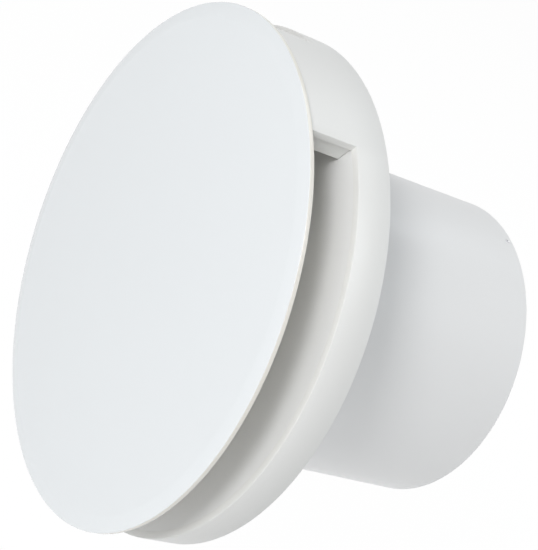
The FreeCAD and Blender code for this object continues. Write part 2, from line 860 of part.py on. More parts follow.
def terminal_clamps():
    clamps = []
    outer = terminal_bore_radius - seat_gap
    for z in pole_places():
        start = FreeCAD.Vector(-clamp_tube_length / 2, terminal_bore_level, z)
        sleeve = bar(outer, start, across, clamp_tube_length)
        bore = bar(outer - clamp_tube_wall, start - across * overrun, across, clamp_tube_length + 2 * overrun)
        holes = [rod(terminal_screw_radius + seat_gap, terminal_top, terminal_bore_level, x, well_z)
                 for x, well_z in well_places() if well_z == z]
        clamps.append(sleeve.cut(joined([bore] + holes)))
    return group(clamps)


def terminal_screws():
    seat = terminal_bore_level - terminal_bore_radius
    top = seat - terminal_screw_length + terminal_bore_radius
    screws = []
    for x, z in well_places():
        shank = rod(terminal_screw_radius, top, terminal_bore_level - clamp_tube_wall, x, z)
        slot_half = terminal_screw_radius * drive_slot_width_share
        slot = block(x - slot_half, x + slot_half, top - overrun, top + terminal_screw_radius / 2,
                     z - terminal_screw_radius - overrun, z + terminal_screw_radius + overrun)
        screws.append(shank.cut(slot))
    return group(screws)


def terminal_block_screw():
    return screw(block_screw_head_radius, block_screw_head_height, block_screw_radius,
                 lip_level - block_screw_seat, block_screw_seat + block_screw_depth - seat_gap, 0, terminal_z)


def terminal_cover():
    half_length = terminal_length / 2 + terminal_cover_gap
    half_width = terminal_width / 2 + terminal_cover_gap
    inside_top = lip_level - terminal_cover_height + terminal_cover_wall
    outer = block(-half_length - terminal_cover_wall, half_length + terminal_cover_wall,
                  lip_level - terminal_cover_height, lip_level,
                  terminal_z - half_width - terminal_cover_wall, terminal_z + half_width + terminal_cover_wall)
    upright = [edge for edge in outer.Edges if edge.BoundBox.YLength > terminal_cover_height / 2]
    outer = outer.makeFillet(terminal_cover_wall, upright)
    inner = block(-half_length, half_length, inside_top, lip_level + overrun,
                  terminal_z - half_width, terminal_z + half_width)
    slot_half = terminal_cover_slot / 2
    slot = block(-half_length - terminal_cover_wall - overrun, half_length + terminal_cover_wall + overrun,
                 terminal_bore_level - terminal_bore_radius, lip_level + overrun,
                 terminal_z - slot_half, terminal_z + slot_half)
    return outer.cut(joined([inner, slot]))


def lead_starts():
    """Points inside the motor's wall from which the two leads start."""
    level = motor_front + lead_exit_depth
    start_radius = motor_radius - lead_exit_reach
    spread = arc_angle(2 * lead_radius + lead_exit_gap, start_radius)
    return [polar(start_radius, lead_exit_angle + side * spread / 2, level) for side in (1, -1)]


def motor_leads():
    leads = []
    turn_radius = (motor_radius + foot_circle) / 2
    block_face = terminal_length / 2
    for start, z in zip(lead_starts(), pole_places()):
        outward = polar(1, lead_exit_angle, 0)
        points = [
            start,
            start + outward * (turn_radius - motor_radius),
            FreeCAD.Vector(bell_edge / 2, terminal_bore_level, (z - foot_circle) / 2 + foot_radius),
            FreeCAD.Vector(block_face + bell_radius, terminal_bore_level, z),
            FreeCAD.Vector(clamp_tube_length / 2, terminal_bore_level, z)]
        path = Part.makePolygon(points)
        section = Part.Wire(Part.makeCircle(lead_radius, start, outward))
        leads.append(sound(path.makePipeShell([section], True, True, corner_mitre)))
    return group(leads)


def cable_grommet():
    neck = entry_radius - seat_gap
    flange_front = lip_level - grommet_front_wall
    nose_front = flange_front - grommet_nose_length
    nose_radius = grommet_bore_radius + grommet_nose_wall
    ring = turned(profile(
        (grommet_bore_radius, nose_front),
        (nose_radius, nose_front),
        (nose_radius, flange_front),
        (neck + grommet_flange - grommet_front_wall / 2, flange_front),
        (neck + grommet_flange, lip_level),
        (neck, lip_level),
        (neck, floor_rear),
        (neck + grommet_rear_wall, floor_rear),
        (neck + grommet_rear_wall / 2, floor_rear + grommet_rear_wall),
        (grommet_throat_radius, floor_rear + grommet_rear_wall),
        (grommet_throat_radius, flange_front),
        (grommet_bore_radius, flange_front)))
    ring.translate(polar(entry_circle, entry_angle, 0))
    return ring


def cable_clamp():
    half_width = cable_clamp_width / 2
    half_length = cable_clamp_length / 2
    x = cable_clamp_offset_x
    body = block(x - half_width, x + half_width, lip_level - cable_clamp_height, lip_level,
                 cable_z - half_length, cable_z + half_length)
    channel_start = FreeCAD.Vector(x - half_width - overrun, lip_level - cable_channel_height, cable_z)
    cuts = [bar(cable_channel_radius, channel_start, across, cable_clamp_width + 2 * overrun)]
    for z in cable_screw_places():
        cuts.append(rod(cable_screw_radius + seat_gap, lip_level - cable_clamp_height - overrun,
                        lip_level + overrun, x, z))
    return body.cut(joined(cuts))


def cable_clamp_screws():
    depth = cable_clamp_height + cable_screw_depth - seat_gap
    return group([screw(cable_screw_head_radius, cable_screw_head_height, cable_screw_radius,
                        lip_level - cable_clamp_height, depth, cable_clamp_offset_x, z)
                  for z in cable_screw_places()])


# Back-draught shutter

def shutter_pin():
    reach = spigot_radius - pin_end_recess
    return bar(pin_radius, FreeCAD.Vector(0, pin_level, -reach), upward, 2 * reach)


def flap_right():
    """Half disc on the +X side, with knuckles round the pin."""
    plate = rod(flap_radius, flap_front, flap_rear)
    plate = plate.common(block(flap_edge, flap_radius + overrun, flap_front, flap_rear,
                               -flap_radius - overrun, flap_radius + overrun))
    rib_low = flap_radius * flap_rib_shares[0]
    rib_high = flap_radius * flap_rib_shares[1]
    pieces = [plate]
    for side in (-1, 1):
        level = side * flap_radius * flap_rib_level_share
        pieces.append(block(rib_low, rib_high, flap_front, flap_rear + flap_rib_height,
                            level - flap_rib_wall / 2, level + flap_rib_wall / 2))
    own = (knuckle_low, -knuckle_high - knuckle_length)
    other = (-knuckle_low - knuckle_length, knuckle_high)
    notch_reach = knuckle_radius + knuckle_notch_gap
    notches = [block(0, notch_reach, flap_front - overrun, flap_rear + overrun,
                     start - knuckle_notch_gap, start + knuckle_length + knuckle_notch_gap) for start in other]
    pieces[0] = plate.cut(joined(notches))
    bores = []
    for start in own:
        foot = FreeCAD.Vector(0, pin_level, start)
        pieces.append(bar(knuckle_radius, foot, upward, knuckle_length))
        pieces.append(block(0, knuckle_radius, flap_front, pin_level, start, start + knuckle_length))
        bores.append(bar(pin_radius + running_gap, foot - upward * overrun, upward,
                         knuckle_length + 2 * overrun))
    return joined(pieces).cut(joined(bores))


def flap_left():
    return about_duct(flap_right(), half_turn)


def flap_spring_right():
    """Close-wound spring beside the right flap's upper knuckle, with a leg along the flap."""
    wind = 2 * spring_wire_radius * spring_wind_share
    start = knuckle_low + knuckle_length + spring_knuckle_gap
    inner = spring_radius - spring_wire_radius
    crest = spring_radius + spring_wire_radius
    groove = crest - spring_wire_radius * spring_groove_share
    outline = [(groove, -wind / 2)]
    for count in range(spring_turns):
        outline += [(crest, wind * count), (groove, wind * (count + 1 / 2))]
    coil = turned(profile((inner, -wind / 2), *outline, (inner, outline[-1][1])))
    coil.rotate(origin, across, quarter_turn)
    coil.translate(FreeCAD.Vector(0, pin_level, start))
    leg = bar(spring_wire_radius * spring_leg_radius_share, FreeCAD.Vector(0, pin_level - spring_radius, start),
              across, spring_leg_length)
    return joined([coil, leg])


def flap_spring_left():
    return about_duct(flap_spring_right(), half_turn)


piece_makers = (
    front_panel, cover_ring, base_housing, spigot_tube, motor_bracket, bracket_screws, motor_mount_screws,
    motor_front_cap, motor_rear_cap, motor_tie_screws, stator_core, coil_bobbins, stator_coils,
    shading_rings, front_bearing, rear_bearing, motor_shaft, rotor_core, rotor_end_rings,
    thrust_washers, impeller, impeller_clip, terminal_block, terminal_clamps, terminal_screws,
    terminal_block_screw, terminal_cover, motor_leads, cable_grommet, cable_clamp,
    cable_clamp_screws, shutter_pin, flap_right, flap_left, flap_spring_right, flap_spring_left)

os.makedirs("parts", exist_ok=True)
for make_piece in piece_makers:
    shape = make_piece()
    print(make_piece.__name__, "solids", len(shape.Solids), "volume", round(shape.Volume, 1),
          "valid", shape.isValid())
    shape.exportStep("parts/" + make_piece.__name__ + ".step")
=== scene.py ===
# %% [markdown]
# # Dressing a round wall exhaust fan
# The fan has a flat front panel on a ring with two pillars, and a duct spigot behind it. Its solids come
# from the CAD model, which is loaded here as a fixed frame. This lesson adds what CAD leaves out: rounded
# edges, wound wire and the finish of each material. It starts with the frame, because every piece made
# later is placed by it.

# %% Load the frame
import json
import math

import bmesh
import bpy
from mathutils import Matrix, Quaternion, Vector


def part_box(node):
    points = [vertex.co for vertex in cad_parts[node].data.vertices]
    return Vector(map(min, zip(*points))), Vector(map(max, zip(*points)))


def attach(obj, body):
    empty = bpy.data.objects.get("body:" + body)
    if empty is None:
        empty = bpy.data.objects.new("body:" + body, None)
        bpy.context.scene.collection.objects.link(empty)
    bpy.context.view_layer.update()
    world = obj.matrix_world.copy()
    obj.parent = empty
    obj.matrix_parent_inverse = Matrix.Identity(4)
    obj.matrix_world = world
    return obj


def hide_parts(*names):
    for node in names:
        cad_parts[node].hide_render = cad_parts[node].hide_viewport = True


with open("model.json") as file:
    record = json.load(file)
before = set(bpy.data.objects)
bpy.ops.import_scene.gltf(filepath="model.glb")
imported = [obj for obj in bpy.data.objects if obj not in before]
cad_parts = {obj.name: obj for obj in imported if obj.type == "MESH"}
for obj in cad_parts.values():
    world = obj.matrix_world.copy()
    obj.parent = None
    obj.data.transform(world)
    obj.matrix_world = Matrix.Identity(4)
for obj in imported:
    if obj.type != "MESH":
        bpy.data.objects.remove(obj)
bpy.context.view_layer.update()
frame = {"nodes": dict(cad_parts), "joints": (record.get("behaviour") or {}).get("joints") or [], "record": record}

nodes = frame["nodes"]

# %% [markdown]
# ## Sizes
# The pieces made below stand in the place of CAD nodes, so their main sizes are read from the nodes' boxes
# and aren't typed again. Blender counts in metres. A fan is easier to think of in millimetres, so lengths
# in this lesson are in millimetres unless a line says otherwise. The duct runs along Y, and a level is a
# place on it. The room is at low Y, and the wall is at zero.

# %% Sizes from the frame
MM = 0.001


def corners(node):
    """Lowest and highest corner of a CAD node at rest, in millimetres."""
    return [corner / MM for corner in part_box(node)]


panel_low, panel_high = corners("front_panel")
ring_low, ring_high = corners("cover_ring")
base_low, base_high = corners("base_housing")
PANEL_RADIUS = panel_high.x
PANEL_FRONT = panel_low.y
PANEL_REAR = ring_low.y
TONGUE_REAR = panel_high.y
COVER_RADIUS = ring_high.x
BAND_REAR = ring_high.y
LIP_LEVEL = base_low.y
SKIRT_RADIUS = base_high.x
print("panel radius", round(PANEL_RADIUS, 2), "ring radius", round(COVER_RADIUS, 2))

# %% [markdown]
# ## The camera
# The product is seen from its front and its right side, and lies turned on its side in the picture. A long
# lens keeps the round panel close to a true ellipse. The place of the camera is given by two angles, a
# distance and a roll about its own line of sight, because each of them can then be changed alone.

# %% Camera
AZIMUTH = 50.25
ELEVATION = 30.65
ROLL = 39.89
TARGET = Vector((0.00162, 0.01128, 0.01007))  # metres
DISTANCE = 0.44074  # metres
LENS = 94.27
SENSOR_WIDTH = 36.0
NEAREST = 0.01  # metres

turn = math.radians(AZIMUTH)
tilt = math.radians(ELEVATION)
towards_camera = Vector((math.sin(turn) * math.cos(tilt), -math.cos(turn) * math.cos(tilt), math.sin(tilt)))
level_view = (-towards_camera).to_track_quat("-Z", "Y")
camera = bpy.data.objects.new("camera", bpy.data.cameras.new("camera"))
bpy.context.scene.collection.objects.link(camera)
camera.data.lens = LENS
camera.data.sensor_width = SENSOR_WIDTH
camera.data.clip_start = NEAREST
camera.rotation_mode = "QUATERNION"
camera.rotation_quaternion = level_view @ Quaternion((0, 0, 1), math.radians(ROLL))
camera.location = TARGET + towards_camera * DISTANCE
bpy.context.scene.camera = camera
bpy.context.scene.view_settings.view_transform = "Standard"
print("camera at", tuple(round(c, 3) for c in camera.location))

# %% [markdown]
# ## Node sums written as Python
# A material is a graph of nodes. Drawing it by hand is clear on a screen, but long in a script. One small
# class holds a socket and its node tree. Adding or multiplying two of them adds a Math node, and every
# other node comes from one method, so a finish reads like a formula.

# %% Socket class
class Socket:
    """One output of a node. Sums with numbers or other sockets add Math nodes to the same tree."""

    def __init__(self, tree, output=None):
        self.tree = tree
        self.output = output

    def node(self, kind, inputs=None, output=0, stops=None, **settings):
        """Adds a node, sets it up, feeds its sockets by name or number, and returns one of its outputs."""
        made = self.tree.nodes.new(kind)
        for name, value in settings.items():
            setattr(made, name, value)
        if stops:
            for element, (place, colour) in zip(made.color_ramp.elements, stops):
                element.position = place
                element.color = colour
        for name, value in (inputs or {}).items():
            if isinstance(value, Socket):
                self.tree.links.new(value.output, made.inputs[name])
            else:
                made.inputs[name].default_value = value
        return Socket(self.tree, made.outputs[output] if made.outputs else None)

    def maths(self, operation, first, second):
        return self.node("ShaderNodeMath", {0: first, 1: second}, operation=operation)

    def __add__(self, other):
        return self.maths("ADD", self, other)

    __radd__ = __add__

    def __sub__(self, other):
        return self.maths("SUBTRACT", self, other)

    def __rsub__(self, other):
        return self.maths("SUBTRACT", other, self)

    def __mul__(self, other):
        return self.maths("MULTIPLY", self, other)

    __rmul__ = __mul__


def start_tree(owner):
    """An empty node tree for a material or a world, as a socket to build on."""
    owner.use_nodes = True
    owner.node_tree.nodes.clear()
    return Socket(owner.node_tree)


print("sums ready:", [name for name in vars(Socket) if name.startswith("__r")])

# %% [markdown]
# ## Studio
# The fan was lit in a white tent, so light comes from all around and the ground is plain white. The world
# gives that even light. For rays that come straight from the camera, by a reflection or through glass, it
# shows white. The Light Path node tells these rays apart, so the white doesn't add to the even light.

# %% World
TENT_LIGHT = 0.2
WHITE = (1, 1, 1, 1)


def rays_that_show(tree):
    """1 for rays from the camera, from a reflection or through glass, and 0 for rays that carry light."""
    camera_ray = tree.node("ShaderNodeLightPath", output="Is Camera Ray")
    glossy_ray = tree.node("ShaderNodeLightPath", output="Is Glossy Ray")
    glass_ray = tree.node("ShaderNodeLightPath", output="Is Transmission Ray")
    return tree.maths("MAXIMUM", tree.maths("MAXIMUM", camera_ray, glossy_ray), glass_ray)


world = bpy.data.worlds.new("white_tent")
bpy.context.scene.world = world
sky = start_tree(world)
shows = rays_that_show(sky)
light = sky.node("ShaderNodeBackground", {"Color": WHITE, "Strength": shows + (1 - shows) * TENT_LIGHT})
sky.node("ShaderNodeOutputWorld", {"Surface": light})
print("tent light", TENT_LIGHT)

# %% [markdown]
# The floor is a sheet of white paper. It is far enough below the fan that the shadow on it stays soft. Most
# of what the camera sees of it is a plain white glow. The small rest is matt paper that takes the shadow.

# %% Floor
FLOOR_LEVEL = -0.26  # metres
FLOOR_SIZE = 3.0  # metres
PAPER_COLOUR = (0.96, 0.96, 0.96, 1)
GLOW_SHARE = 0.95
GLOW_STRENGTH = 1.015

bm = bmesh.new()
bmesh.ops.create_grid(bm, x_segments=1, y_segments=1, size=FLOOR_SIZE,
                      matrix=Matrix.Translation((0, 0, FLOOR_LEVEL)))
mesh = bpy.data.meshes.new("studio_floor")
bm.to_mesh(mesh)
bm.free()
studio_floor = bpy.data.objects.new("studio_floor", mesh)
bpy.context.scene.collection.objects.link(studio_floor)

paper = bpy.data.materials.new("floor_paper")
sheet = start_tree(paper)
matt = sheet.node("ShaderNodeBsdfDiffuse", {"Color": PAPER_COLOUR})
glow = sheet.node("ShaderNodeEmission", {"Color": WHITE, "Strength": GLOW_STRENGTH})
both = sheet.node("ShaderNodeMixShader", {0: rays_that_show(sheet) * GLOW_SHARE, 1: matt, 2: glow})
sheet.node("ShaderNodeOutputMaterial", {"Surface": both})
mesh.materials.append(paper)
print("floor at", FLOOR_LEVEL, "m")

# %% [markdown]
# Lamps stand round the tent and give the even light some direction. The key lamp is the strongest and the
# smallest. It stands high in front on the right, so its light passes the panel's rim and leaves a clear
# shadow on the floor behind the side window. The others are larger, and a larger lamp has softer shadows.
# The three behind the fan are slightly blue, which keeps the spigot a cooler white than the ring.

# %% Lamps
AIM = Vector((0, 0.02, 0))  # metres
CLEAR = (1.0, 1.0, 1.0)
COOL = (0.94, 0.975, 1.0)
COOLER = (0.92, 0.965, 1.0)


def add_lamp(name, place, size, power, colour):
    """A round lamp that points at the fan, with its place and size in metres and its power in watts."""
    lamp = bpy.data.objects.new(name, bpy.data.lights.new(name, "AREA"))
    bpy.context.scene.collection.objects.link(lamp)
    lamp.data.shape = "DISK"
    lamp.data.size = size
    lamp.data.energy = power
    lamp.data.color = colour
    lamp.location = place
    lamp.rotation_mode = "QUATERNION"
    lamp.rotation_quaternion = (AIM - Vector(place)).to_track_quat("-Z", "Y")
    return lamp


lamps = [
    add_lamp("key_lamp", (0.415, -0.9, 0.73), 0.34, 6.3, CLEAR),
    add_lamp("front_lamp", (0.0, -1.06, 0.66), 0.6, 3.1, CLEAR),
    add_lamp("side_lamp", (1.08, -0.62, 0.11), 0.6, 2.2, CLEAR),
    add_lamp("top_lamp", (0.54, 0.31, 1.08), 0.6, 3.5, COOL),
    add_lamp("left_lamp", (-0.54, 0.54, 0.98), 0.6, 1.7, COOLER),
    add_lamp("rear_lamp", (-0.15, 1.2, 0.1), 0.6, 4.1, COOL),
]
print("lamps:", ", ".join(lamp.name for lamp in lamps))

# %% [markdown]
# ## Moulded plastic
# The fan's outside is white plastic from a mould. Such a surface isn't one flat colour: the mould's fine
# grain breaks up the shine, and the colour drifts a little over a hand's width. Two noises do that. The
# small one bends the surface through a Bump node, and the large one shifts colour and roughness.

# %% Moulded plastic
GRAIN_DETAIL = 2.0
GRAIN_BUMP = 0.5
GRAIN_SHINE = 0.04
CLOUD_SCALE = 22.0
CLOUD_DETAIL = 3.0
CLOUD_SHINE = 0.06
NOISE_MEAN = 0.5
PLASTIC_IOR = 1.49
COAT_ROUGHNESS = 0.06


def start_finish(name):
    """A new material, its empty tree, and the place on a piece that its patterns follow."""
    material = bpy.data.materials.new(name)
    sheet = start_tree(material)
    return material, sheet, sheet.node("ShaderNodeTexCoord", output="Object")


def noise(sheet, place, scale, detail):
    return sheet.node("ShaderNodeTexNoise", {"Vector": place, "Scale": scale, "Detail": detail})


def bumps(sheet, height, depth_mm, strength):
    """Normals of a surface that a pattern raises and lowers."""
    return sheet.node("ShaderNodeBump", {"Height": height, "Distance": depth_mm * MM, "Strength": strength})


def blend(sheet, share, first, second):
    """A colour between two colours."""
    return sheet.node("ShaderNodeMix", {0: share, 6: first, 7: second}, 2, data_type="RGBA")


def drifting(sheet, share, colour, drift):
    """A colour that gets darker by up to a small part of itself."""
    darker = tuple(c * (1 - drift) for c in colour)
    return blend(sheet, share, colour + (1,), darker + (1,))


def moulded(name, colour, roughness, grain_mm=0.4, depth_mm=0.004, drift=0.03, coat=0.0, behind=None):
    """Moulded plastic: a grain of the mould, and a slow drift of its colour and shine. Where behind gives a
    level on the duct and a colour, the plastic has that colour past the level."""
    material, sheet, place = start_finish(name)
    grain = noise(sheet, place, 1 / (grain_mm * MM), GRAIN_DETAIL)
    cloud = noise(sheet, place, CLOUD_SCALE, CLOUD_DETAIL)
    tone = drifting(sheet, cloud, colour, drift)
    if behind:
        level, shade = behind
        depth = sheet.node("ShaderNodeSeparateXYZ", {"Vector": place}, "Y")
        tone = blend(sheet, sheet.maths("GREATER_THAN", depth, level * MM), tone, shade + (1,))
    rough = roughness + (cloud - NOISE_MEAN) * CLOUD_SHINE + (grain - NOISE_MEAN) * GRAIN_SHINE
    shader = sheet.node("ShaderNodeBsdfPrincipled", {
        "Base Color": tone, "Roughness": rough, "Normal": bumps(sheet, grain, depth_mm, GRAIN_BUMP),
        "Coat Weight": coat, "Coat Roughness": COAT_ROUGHNESS, "IOR": PLASTIC_IOR})
    sheet.node("ShaderNodeOutputMaterial", {"Surface": shader})
    return material


print("cloud of the plastic is about", round(1 / (CLOUD_SCALE * MM)), "mm wide")

# %% [markdown]
# The whites aren't the same. The ring is satin, the spigot has a thin gloss, and the panel's polished face
# is a cool white that turns to cream behind it. On the rim the cream is the rim's own look. On the rear face
# it is painted warm shade: it tints the light that bounces into the shadowed floor behind the side windows.
# The rim lies a little behind the face, so a level on the duct parts the two colours. Inside are plainer
# whites, creams and a grey impeller.

# %% Plastic finishes
FACE_DEPTH = 0.7
# Cream behind the panel's face: the rim's own tone, and painted warm shade on the rear face for the windows.
CREAM_OF_RIM_AND_PAINTED_SHADE = (0.86, 0.835, 0.77)

finishes = {
    "cover_white": moulded("satin_white", (0.812, 0.815, 0.800), 0.42, grain_mm=0.5, depth_mm=0.006,
                           drift=0.015),
    # The panel is cream past the level: on the rim its own tone, on the rear face painted warm shade.
    "panel_white": moulded("cool_white", (0.805, 0.834, 0.852), 0.20, grain_mm=0.5, depth_mm=0.001,
                           drift=0.012, behind=(PANEL_FRONT + FACE_DEPTH, CREAM_OF_RIM_AND_PAINTED_SHADE)),
    "base_white": moulded("gloss_white", (0.843, 0.848, 0.849), 0.36, grain_mm=0.8, depth_mm=0.001,
                          drift=0.015, coat=0.12),
    "bracket_white": moulded("plain_white", (0.74, 0.75, 0.74), 0.45, drift=0.04),
    "impeller_grey": moulded("impeller_grey", (0.50, 0.52, 0.54), 0.40, grain_mm=0.7, drift=0.06),
    "shutter_white": moulded("shutter_white", (0.76, 0.77, 0.77), 0.38, grain_mm=0.3, drift=0.04),
    "bobbin_cream": moulded("bobbin_cream", (0.72, 0.66, 0.52), 0.50, drift=0.08),
    "terminal_cream": moulded("terminal_cream", (0.76, 0.72, 0.62), 0.42, drift=0.06),
    "washer_black": moulded("washer_black", (0.03, 0.03, 0.03), 0.48, drift=0.2),
}
print("plastics:", ", ".join(material.name for material in finishes.values()))

# %% [markdown]
# ## Metals and wire
# Inside are metals that have each been worked in their own way. A turned shaft has fine rings round its
# axis, a stack of sheets shows the edges of its sheets, cast alloy is grainy, and zinc on screws is
# blotchy. Stretching one noise along an axis gives rings or sheets, so one function makes them all.

# %% Metal finishes
MARKS_DETAIL = 4.0
MARKS_BUMP = 0.6
MARKS_SHINE = 0.10
BLOTCH_SCALE = 140.0
BLOTCH_DETAIL = 3.0
BLOTCH_SHINE = 0.06
EVEN = (1.0, 1.0, 1.0)
ACROSS_DUCT = (0.02, 1.0, 0.02)
ALONG_DUCT = (1.0, 0.05, 1.0)


def worked_metal(name, colour, roughness, scale, drift, depth_mm, stretch=EVEN):
    """Metal whose marks follow its making: noise that is scaled by three factors along X, Y and Z."""
    material, sheet, place = start_finish(name)
    turned = sheet.node("ShaderNodeMapping", {"Vector": place, "Scale": stretch})
    marks = noise(sheet, turned, scale, MARKS_DETAIL)
    blotch = noise(sheet, place, BLOTCH_SCALE, BLOTCH_DETAIL)
    tone = drifting(sheet, blotch, colour, drift)
    rough = roughness + (marks - NOISE_MEAN) * MARKS_SHINE + (blotch - NOISE_MEAN) * BLOTCH_SHINE
    shader = sheet.node("ShaderNodeBsdfPrincipled", {
        "Base Color": tone, "Roughness": rough, "Metallic": 1.0,
        "Normal": bumps(sheet, marks, depth_mm, MARKS_BUMP)})
    sheet.node("ShaderNodeOutputMaterial", {"Surface": shader})
    return material


metals = {
    "motor_alloy": worked_metal("cast_alloy", (0.60, 0.61, 0.62), 0.42,
                                scale=1600.0, drift=0.12, depth_mm=0.012),
    "rotor_alloy": worked_metal("rotor_alloy", (0.66, 0.66, 0.67), 0.38,
                                scale=1200.0, drift=0.10, depth_mm=0.010),
    "stator_steel": worked_metal("sheet_stack", (0.30, 0.31, 0.33), 0.44,
                                 scale=2600.0, drift=0.25, depth_mm=0.030, stretch=ACROSS_DUCT),
    "shaft_steel": worked_metal("ground_steel", (0.60, 0.61, 0.63), 0.24,
                                scale=3200.0, drift=0.06, depth_mm=0.003, stretch=ACROSS_DUCT),
    "screw_steel": worked_metal("zinc_plate", (0.58, 0.59, 0.60), 0.34,
                                scale=900.0, drift=0.18, depth_mm=0.004),
    "spring_steel": worked_metal("spring_wire", (0.46, 0.47, 0.49), 0.30,
                                 scale=2400.0, drift=0.10, depth_mm=0.003),
    "bush_bronze": worked_metal("sintered_bronze", (0.52, 0.34, 0.17), 0.46,
                                scale=2800.0, drift=0.22, depth_mm=0.012),
    "clamp_brass": worked_metal("turned_brass", (0.66, 0.50, 0.22), 0.30,
                                scale=1500.0, drift=0.10, depth_mm=0.004),
    "winding_copper": worked_metal("copper_winding", (0.56, 0.25, 0.12), 0.36,
                                   scale=2200.0, drift=0.15, depth_mm=0.05, stretch=ALONG_DUCT),
}
finishes.update(metals)
print("metals:", ", ".join(material.name for material in metals.values()))

# %% [markdown]
# ## Rubber and wire sleeves
# Rubber and soft sleeves have no clear reflection. They scatter light at grazing angles, which the sheen of
# the shader gives, and dust makes them paler in places. The dust is a noise with a narrow ramp.

# %% Rubber finishes
DUST_SCALE = 260.0
DUST_DETAIL = 5.0
DUST_RAMP = ((0.45, (0, 0, 0, 1)), (0.75, (1, 1, 1, 1)))
DUST_SHINE = 0.1
SKIN_DEPTH = 0.02
SKIN_BUMP = 0.4
SHEEN = 0.15


def soft_rubber(name, colour, dust, roughness):
    """Rubber or a soft sleeve, with patches of paler dust."""
    material, sheet, place = start_finish(name)
    cloud = noise(sheet, place, DUST_SCALE, DUST_DETAIL)
    patch = sheet.node("ShaderNodeValToRGB", {"Fac": cloud}, stops=DUST_RAMP)
    tone = blend(sheet, patch, colour + (1,), dust + (1,))
    shader = sheet.node("ShaderNodeBsdfPrincipled", {
        "Base Color": tone, "Roughness": roughness + patch * DUST_SHINE, "Sheen Weight": SHEEN,
        "Normal": bumps(sheet, cloud, SKIN_DEPTH, SKIN_BUMP)})
    sheet.node("ShaderNodeOutputMaterial", {"Surface": shader})
    return material


finishes["grommet_rubber"] = soft_rubber("grommet_rubber", (0.035, 0.035, 0.036), (0.06, 0.06, 0.06), 0.62)
finishes["lead_sleeve"] = soft_rubber("lead_sleeve", (0.48, 0.49, 0.50), (0.56, 0.56, 0.56), 0.48)
print("finishes in all:", len(finishes))

# %% [markdown]
# ## Finishes on the CAD nodes
# The record says which slot each node has, so a loop can hand out the finishes. A CAD mesh is made of loose
# triangles, and a round wall would show them as flat strips. A short geometry node tree joins the
# triangles and shades every edge smooth that turns by less than an angle, and leaves the mesh itself alone.

# %% Smooth shading and finishes for CAD nodes
SMOOTH_ANGLE = 32.0
JOIN_DISTANCE = 0.0005

soft_walls = bpy.data.node_groups.new("soft_walls", "GeometryNodeTree")
for side in ("INPUT", "OUTPUT"):
    soft_walls.interface.new_socket("Geometry", in_out=side, socket_type="NodeSocketGeometry")
tree = Socket(soft_walls)
shape = tree.node("NodeGroupInput")
shape = tree.node("GeometryNodeMergeByDistance", {"Geometry": shape, "Distance": JOIN_DISTANCE * MM})
shape = tree.node("GeometryNodeSetShadeSmooth", {"Geometry": shape, "Shade Smooth": True}, domain="FACE")
angle = tree.node("GeometryNodeInputMeshEdgeAngle")
gentle = tree.node("FunctionNodeCompare", {0: angle, 1: math.radians(SMOOTH_ANGLE)}, operation="LESS_THAN")
shape = tree.node("GeometryNodeSetShadeSmooth", {"Geometry": shape, "Shade Smooth": gentle}, domain="EDGE")
tree.node("NodeGroupOutput", {0: shape})


def shade_walls(piece):
    modifier = piece.modifiers.new("soft_walls", "NODES")
    modifier.node_group = soft_walls


slot_of = {row["node"]: row["material_slot"] for row in frame["record"]["subparts"]}
for name, node in nodes.items():
    node.data.materials.clear()
    node.data.materials.append(finishes[slot_of[name]])
    shade_walls(node)
print("finishes set on", len(nodes), "CAD nodes")

# %% [markdown]
# ## Turned pieces
# The panel and the ring are round, so a profile and a spin make them. The profile starts as a few corners
# in the plane of the duct axis. Rounding its corners before the spin is a bevel of a few vertices, which is
# much cheaper than a bevel of hundreds of edges afterwards.

# %% Helpers for turned pieces
CENTRE = (0, 0, 0)
DUCT_AXIS = (0, -1, 0)
FULL_TURN = 360
WELD_DISTANCE = 0.001


def at(radius, angle, level):
    """A point from a radius, an angle from +X towards +Z in degrees, and a level."""
    turn = math.radians(angle)
    return Vector((radius * math.cos(turn), level, radius * math.sin(turn))) * MM


def profile_chain(bm, profile, angle=0.0, closed=True):
    """Vertices of a chain of edges through (radius, level) corners."""
    verts = [bm.verts.new(at(radius, angle, level)) for radius, level in profile]
    ends = verts[1:] + verts[:1] if closed else verts[1:]
    for pair in zip(verts, ends):
        bm.edges.new(pair)
    return verts


def rounded(bm, verts, radius, segments):
    """Rounds corners of a chain of edges."""
    bmesh.ops.bevel(bm, geom=verts, offset=radius * MM, offset_type="OFFSET", segments=segments,
                    profile=0.5, affect="VERTICES", material=-1)


def weld(bm, distance=WELD_DISTANCE):
    """Joins vertices that lie on each other."""
    bmesh.ops.remove_doubles(bm, verts=list(bm.verts), dist=distance * MM)


def close_ends(bm):
    """Puts a face on every open rim."""
    bmesh.ops.holes_fill(bm, edges=[edge for edge in bm.edges if edge.is_boundary], sides=0)


def face_outwards(bm):
    bmesh.ops.recalc_face_normals(bm, faces=list(bm.faces))


print("turned pieces are spun about", DUCT_AXIS)

# %% [markdown]
# A spin through a full turn meets its own start, and the two are merged there. A spin through a part of a
# turn leaves two open ends, and each is closed by a face. Then the separate shapes of a piece are poured
# into one mesh, which gets its finish and is tied to the body that it moves with.

# %% Helpers that spin and finish a piece
EASED_SEGMENTS = 2


def spin_all(bm, sweep, steps):
    """Turns everything in the bmesh about the duct axis."""
    whole = sweep >= FULL_TURN
    bmesh.ops.spin(bm, geom=list(bm.verts) + list(bm.edges), cent=CENTRE, axis=DUCT_AXIS,
                   angle=math.radians(sweep), steps=steps, use_merge=whole)
    weld(bm)
    if not whole:
        close_ends(bm)
    face_outwards(bm)


def arc_bar(profile, start, sweep, steps, radius):
    """Solid from a closed profile that is turned through part of a circle, with eased corners."""
    bm = bmesh.new()
    verts = profile_chain(bm, profile, start)
    rounded(bm, verts, radius, EASED_SEGMENTS)
    spin_all(bm, sweep, steps)
    return bm


def pour(part, whole):
    """Moves everything in one bmesh into another."""
    scratch = bpy.data.meshes.new("scratch")
    part.to_mesh(scratch)
    part.free()
    whole.from_mesh(scratch)
    bpy.data.meshes.remove(scratch)


